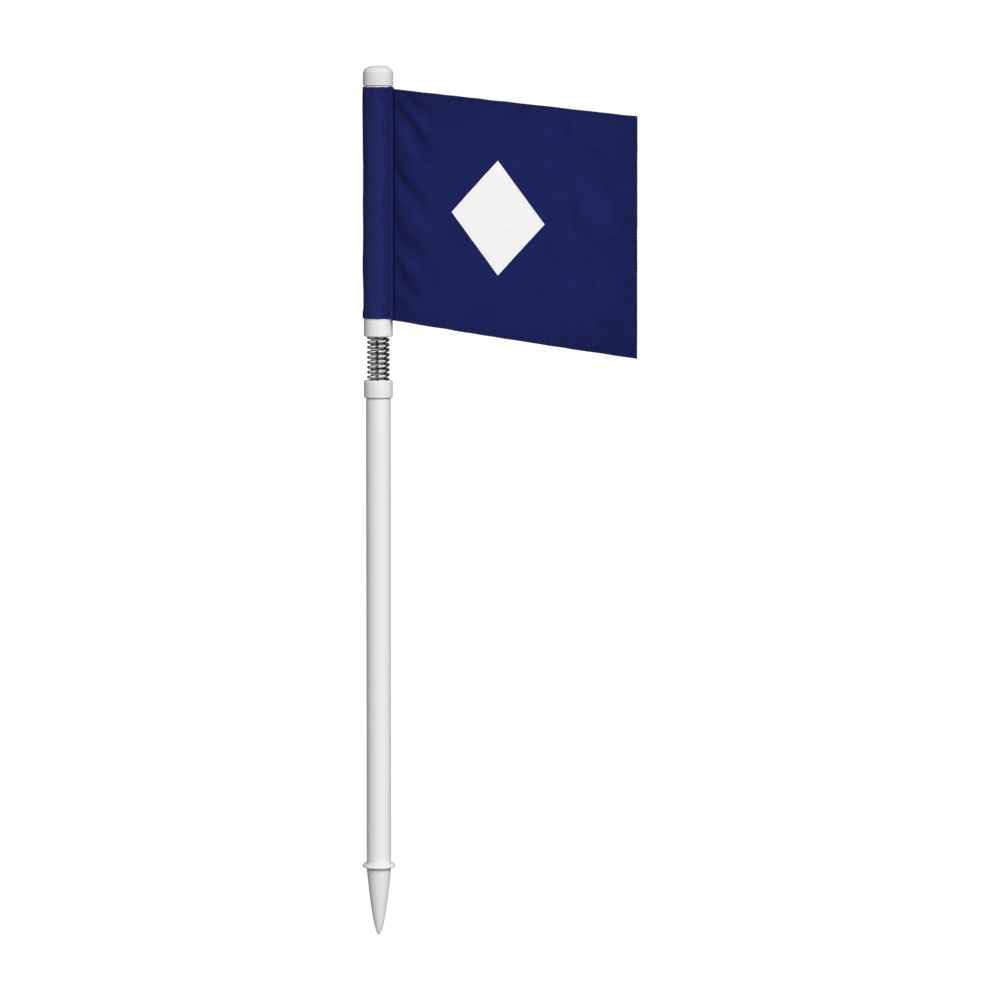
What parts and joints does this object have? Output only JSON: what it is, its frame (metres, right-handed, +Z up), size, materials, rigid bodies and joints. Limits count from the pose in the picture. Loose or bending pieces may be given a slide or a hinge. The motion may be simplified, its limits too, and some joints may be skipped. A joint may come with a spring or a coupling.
{
  "type": "corner flag",
  "caption": "Sprung corner flag: white tubular pole on a ground spike, bent by an exposed steel spring, with a sleeved navy cloth flag and a push-in cap.",
  "frame": {"origin": "on the pole's axis at the underside of the stop ring, which is the level of the turf", "axes": "+Z up along the pole, +X along the flag from hoist to fly, +Y out of the flag's hemmed back"},
  "size_m": [0.6407, 0.0614, 1.63],
  "materials": {
    "pole_plastic": "satin white plastic tube",
    "moulded_plastic": "fine-grained white moulding",
    "plug_nylon": "black nylon",
    "spring_steel": "bright plated spring wire",
    "pin_steel": "plain drawn steel",
    "flag_cloth": "navy polyester cloth"
  },
  "bodies": {
    "lower_pole": {"ground_spike": "moulded_plastic", "stop_ring": "moulded_plastic", "spike_pin": "pin_steel", "lower_tube": "pole_plastic", "lower_plug": "plug_nylon", "lower_pin": "pin_steel", "lower_collar": "moulded_plastic"},
    "springs": {"outer_spring": "spring_steel", "inner_spring": "spring_steel"},
    "upper_pole": {"upper_tube": "pole_plastic", "upper_plug": "plug_nylon", "upper_pin": "pin_steel"},
    "end_cap": {"cap": "moulded_plastic"},
    "flag": {"flag_sleeve": "flag_cloth", "flag_panel": "flag_cloth", "hem_top": "flag_cloth", "hem_bottom": "flag_cloth", "hem_fly": "flag_cloth"}
  },
  "joints": [
    {"name": "lean_front_back", "type": "hinge", "parent": "lower_pole", "child": "springs", "pos_m": [0, 0, 0.9381], "axis": [1, 0, 0], "range_deg": [-45, 45], "stiffness_Nm_per_rad": 10, "deforming": ["outer_spring", "inner_spring"]},
    {"name": "lean_left_right", "type": "hinge", "parent": "springs", "child": "upper_pole", "pos_m": [0, 0, 0.9788], "axis": [0, 1, 0], "range_deg": [-45, 45], "stiffness_Nm_per_rad": 10, "deforming": ["outer_spring", "inner_spring"]},
    {"name": "flag_swivel", "type": "hinge", "parent": "upper_pole", "child": "flag", "pos_m": [0, 0, 1.2449], "axis": [0, 0, 1], "continuous": true},
    {"name": "cap_pull", "type": "slide", "parent": "upper_pole", "child": "end_cap", "axis": [0, 0, 1], "range_m": [0, 0.045]}
  ]
}
